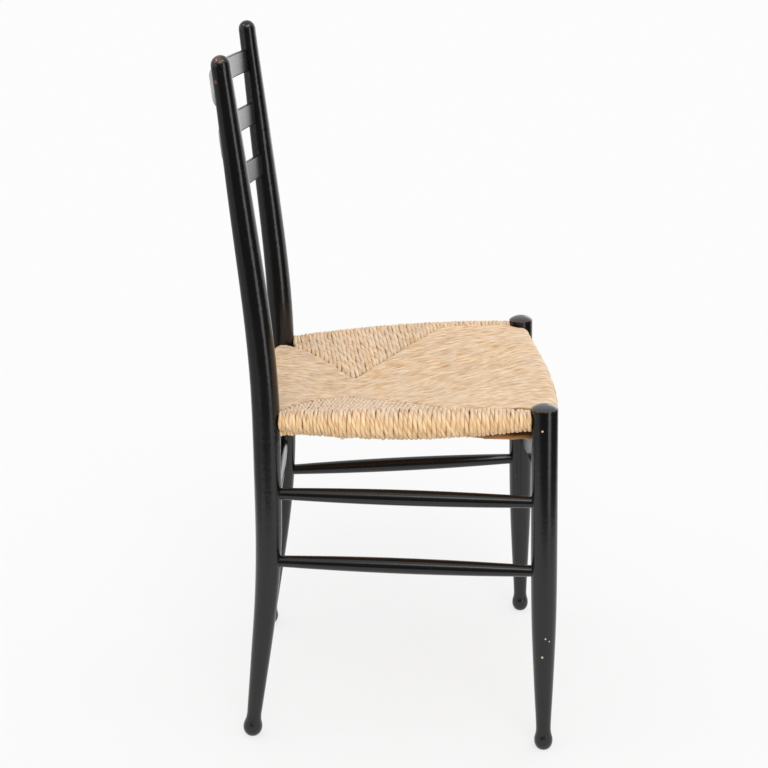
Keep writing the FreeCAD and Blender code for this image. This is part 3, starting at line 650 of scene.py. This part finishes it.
def twistedRush():
    # Bulrush leaves damped and twisted by hand: matt straw with fine fibres that follow the twist, a faint
    # waxy sheen, brown painted into the creases as shade, and a painted shade beneath.
    material, tree, shader = newMaterial("handTwistedRush")
    tone, bleachAndUnderShade, gapShade = [addNode(tree, "ShaderNodeAttribute", {"attribute_name": name}).outputs["Fac"]
                         for name in ("tone", "bleachAndUnderShade", "gapShade")]
    along = addNode(tree, "ShaderNodeUVMap", {"uv_map": "along"}).outputs[0]
    split = addNode(tree, "ShaderNodeSeparateXYZ", inputs={0: along})
    angle = addNode(tree, "ShaderNodeMath", {"operation": "MULTIPLY"},
                    {0: split.outputs["X"], 1: 2 * math.pi}).outputs[0]

    # The fibres' noise is read on a helix round the cord, so it has no seam: cosine and sine of the angle,
    # and the length along, shifted by the cord's tone.
    helix = {}
    for axis, operation in (("X", "COSINE"), ("Y", "SINE")):
        wave = addNode(tree, "ShaderNodeMath", {"operation": operation}, {0: angle})
        helix[axis] = addNode(tree, "ShaderNodeMath", {"operation": "MULTIPLY"},
                              {0: wave.outputs[0], 1: rush["fibreRound"]}).outputs[0]
    shift = addNode(tree, "ShaderNodeMath", {"operation": "MULTIPLY"}, {0: tone, 1: rush["fibreShift"]})
    helix["Z"] = addNode(tree, "ShaderNodeMath", {"operation": "MULTIPLY_ADD"},
                         {0: split.outputs["Y"], 1: rush["fibreLong"], 2: shift.outputs[0]}).outputs[0]
    spot = addNode(tree, "ShaderNodeCombineXYZ", inputs=helix).outputs[0]
    fibre = addNode(tree, "ShaderNodeTexNoise",
                    inputs={"Vector": spot, "Scale": 1.0, "Detail": rush["fibreDetail"],
                            "Roughness": rush["fibreCoarse"]}).outputs["Fac"]
    pale = addNode(tree, "ShaderNodeMapRange",
                   inputs={"Value": fibre, "From Min": rush["fibreFrom"], "From Max": rush["fibreTo"]})

    # Below, a painted shade darkens the rush. On top it is bleached, apart from golden patches.
    below = addNode(tree, "ShaderNodeMapRange", inputs={"Value": bleachAndUnderShade, "From Min": 0.0, "From Max": -1.0})
    place = addNode(tree, "ShaderNodeTexCoord").outputs["Object"]
    patch = addNode(tree, "ShaderNodeTexNoise",
                    inputs={"Vector": place, "Scale": rush["patchScale"], "Detail": rush["patchDetail"]})
    kept = addNode(tree, "ShaderNodeMapRange",
                   inputs={"Value": patch.outputs["Fac"], "From Min": rush["patchFrom"],
                           "From Max": rush["patchTo"], "To Min": 1 - rush["patchShare"]})
    bleachAndUnderShade = addNode(tree, "ShaderNodeMath", {"operation": "MULTIPLY"},
                     {0: bleachAndUnderShade, 1: kept.outputs["Result"]}).outputs[0]
    body, creaseShade = [addNode(tree, "ShaderNodeMix", colourMix,
                            {0: bleachAndUnderShade, 6: toLinear(rush[first]), 7: toLinear(rush[second])}).outputs[2]
                    for first, second in (("golden", "bleached"), ("shadeOfGolden", "shadeOfBleached"))]

    # Painted shade: brown is laid in the gaps between cords, beneath each cord, and in the groove between
    # the plies, which is fainter on top.
    twice = addNode(tree, "ShaderNodeMath", {"operation": "MULTIPLY"}, {0: angle, 1: 2.0})
    swell = addNode(tree, "ShaderNodeMath", {"operation": "COSINE"}, {0: twice.outputs[0]})
    grooveShade = addNode(tree, "ShaderNodeMapRange",
                     inputs={"Value": swell.outputs[0], "From Min": rush["plyEdge"], "From Max": -1.0,
                             "To Max": rush["plyLine"]})
    fainter = addNode(tree, "ShaderNodeMath", {"operation": "MULTIPLY_ADD"},
                      {0: bleachAndUnderShade, 1: -rush["plyFaded"], 2: 1.0})
    grooveShade = addNode(tree, "ShaderNodeMath", {"operation": "MULTIPLY"},
                     {0: grooveShade.outputs["Result"], 1: fainter.outputs[0]})
    deep = addNode(tree, "ShaderNodeMath", {"operation": "MAXIMUM"}, {0: gapShade, 1: grooveShade.outputs[0]})
    colour = addNode(tree, "ShaderNodeMix", colourMix, {0: deep.outputs[0], 6: body, 7: creaseShade}).outputs[2]
    for share, first, second in ((pale, rush["fibre"], white), (below, white, rush["below"])):
        tint = addNode(tree, "ShaderNodeMix", colourMix,
                       {0: share.outputs["Result"], 6: toLinear(first), 7: toLinear(second)})
        colour = addNode(tree, "ShaderNodeVectorMath", {"operation": "MULTIPLY"},
                         {0: colour, 1: tint.outputs[2]}).outputs[0]
    shaded = addNode(tree, "ShaderNodeVectorMath", {"operation": "SCALE"}, {0: colour, "Scale": tone})
    tree.links.new(shaded.outputs[0], shader.inputs["Base Color"])
    shader.inputs["Roughness"].default_value = rush["roughness"]
    shader.inputs["Sheen Weight"].default_value = rush["sheen"]
    bump = addNode(tree, "ShaderNodeBump",
                   inputs={"Height": fibre, "Strength": rush["fibreBump"], "Distance": rush["fibreDepth"]})
    tree.links.new(bump.outputs[0], shader.inputs["Normal"])
    return material


# Studio

camera = {
    "place": (-2.3338, -0.0108, 1.1427),
    "yaw": 0.3679, "pitch": 16.9864, "roll": -0.6236,   # degrees
    "lens": 84.68, "sensor": 36.0,
}

studio = {
    "strength": 1.0,                                    # of the white all round
    # One broad soft lamp, in degrees: its spread, and where it stands, from the camera's side and above
    # the floor.
    "key": {"strength": 1.15, "spread": 38.0, "azimuth": 8.0, "height": 38.0},
    "floor": "#8c8c8c", "floorGlow": 0.655, "floorHalf": 14.0,      # a paper sweep lit from below
    "roughness": 0.9,
    # Sheets that only reflections see: the dark room behind the camera and in front of the chair, a dull
    # wall to its left, a tall lit strip to its right, a bright wall and floor beyond it that light the
    # slats' faces, and two small lamps overhead. Each has its brightness, and its corners in metres.
    "sheets": {
        "darkFloor": (0.05, ((-1.05, 0.80, 0.004), (-1.00, -0.90, 0.004), (0.90, -1.30, 0.004),
                             (0.90, -7.0, 0.004), (-7.0, -7.0, 0.004), (-7.0, 9.0, 0.004),
                             (-3.2, 5.0, 0.004))),
        "darkWall": (0.06, ((-7.0, -7.0, 0.0), (-7.0, 6.0, 0.0), (-7.0, 6.0, 5.5), (-7.0, -7.0, 5.5))),
        "darkFrontWall": (0.06, ((-7.0, -7.0, 0.0), (0.9, -7.0, 0.0), (0.9, -7.0, 5.5), (-7.0, -7.0, 5.5))),
        "brightWall": (2.2, ((6.0, -1.5, 0.0), (6.0, -9.0, 0.0), (6.0, -9.0, 5.0), (6.0, -1.5, 5.0))),
        "brightFloor": (1.25, ((2.0, -1.5, 0.005), (6.0, -1.5, 0.005), (6.0, -7.0, 0.005),
                               (2.0, -7.0, 0.005))),
        "dullWall": (0.45, ((-1.05, 0.80, 0.005), (-3.2, 5.0, 0.005), (-7.0, 9.0, 0.005),
                            (5.0, 9.0, 0.005), (5.0, 1.0, 0.005), (0.2, 1.0, 0.005))),
        "litFloorStrip": (2.4, ((-0.91, -0.99, 0.006), (-1.21, -0.67, 0.006), (-4.81, -2.92, 0.006),
                                (-3.49, -4.28, 0.006))),
        "litStrip": (2.6, ((-3.49, -4.28, 0.0), (-4.81, -2.92, 0.0), (-4.81, -2.92, 3.5),
                           (-3.49, -4.28, 3.5))),
        "leftLamp": (34.0, ((-0.42, 1.70, 3.0), (-0.78, 1.70, 3.0), (-0.78, 2.06, 3.0),
                            (-0.42, 2.06, 3.0))),
        "rightLamp": (34.0, ((-0.99, -1.09, 3.0), (-1.35, -1.09, 3.0), (-1.35, -0.73, 3.0),
                             (-0.99, -0.73, 3.0))),
    },
}


# The camera's axes from its yaw, its pitch down and its roll, as cosines and sines of each.
def makeCamera():
    yaw, pitch, roll = (math.radians(camera[key]) for key in ("yaw", "pitch", "roll"))
    forward = Vector((math.cos(yaw) * math.cos(pitch), math.sin(yaw) * math.cos(pitch), -math.sin(pitch)))
    level = Vector((math.sin(yaw), -math.cos(yaw), 0))
    upright = level.cross(forward)
    right = level * math.cos(roll) + upright * math.sin(roll)
    up = upright * math.cos(roll) - level * math.sin(roll)
    data = bpy.data.cameras.new("studioCamera")
    data.lens = camera["lens"]
    data.sensor_width = camera["sensor"]
    view = bpy.data.objects.new("studioCamera", data)
    turn = Matrix((right, up, -forward)).transposed()
    view.matrix_world = Matrix.Translation(Vector(camera["place"])) @ turn.to_4x4()
    bpy.context.scene.collection.objects.link(view)
    bpy.context.scene.camera = view


# One flat face of the studio through its corners, in a matt colour that gives off an even light.
def flatSheet(name, corners, finish, colour, glow):
    mesh = bpy.data.meshes.new(name)
    mesh.from_pydata(corners, [], [tuple(range(len(corners)))])
    sheet = bpy.data.objects.new(name, mesh)
    bpy.context.scene.collection.objects.link(sheet)
    material, tree, shader = newMaterial(finish)
    shader.inputs["Base Color"].default_value = toLinear(colour)
    shader.inputs["Roughness"].default_value = studio["roughness"]
    shader.inputs["Specular IOR Level"].default_value = 0.0
    shader.inputs["Emission Color"].default_value = toLinear(white)
    shader.inputs["Emission Strength"].default_value = glow
    if glow < 1:
        material.cycles.emission_sampling = "NONE"      # too faint to be aimed at as a lamp
    mesh.materials.append(material)
    return sheet


# White all round, a floor, one soft lamp, and the sheets that the lacquer mirrors.
def makeStudio():
    world = bpy.data.worlds.new("whiteStudio")
    bpy.context.scene.world = world
    world.use_nodes = True
    background = world.node_tree.nodes["Background"]
    background.inputs["Color"].default_value = toLinear(white)
    background.inputs["Strength"].default_value = studio["strength"]
    half = studio["floorHalf"]
    flatSheet("floor", ((-half, -half, 0), (half, -half, 0), (half, half, 0), (-half, half, 0)),
              "whitePaperSweep", studio["floor"], studio["floorGlow"])
    key = studio["key"]
    around = math.radians(key["azimuth"])
    above = math.radians(key["height"])
    flat = math.cos(above)
    towards = Vector((-math.cos(around) * flat, -math.sin(around) * flat, math.sin(above)))
    light = bpy.data.lights.new("softKey", "SUN")
    light.energy = key["strength"]
    light.angle = math.radians(key["spread"])
    lamp = bpy.data.objects.new("softKey", light)
    lamp.rotation_euler = towards.to_track_quat("Z", "Y").to_euler()
    bpy.context.scene.collection.objects.link(lamp)
    for name, (glow, corners) in studio["sheets"].items():
        sheet = flatSheet(name, corners, name, black, glow)
        for ray in ("camera", "diffuse", "shadow", "transmission", "volume_scatter"):
            setattr(sheet, "visible_" + ray, False)


makeCamera()
makeStudio()
print("studio ready")
paintFrame()
print("frame lacquered")
windSeat(twistedRush())
print("rush wound")
bpy.context.scene.view_settings.view_transform = "Standard"
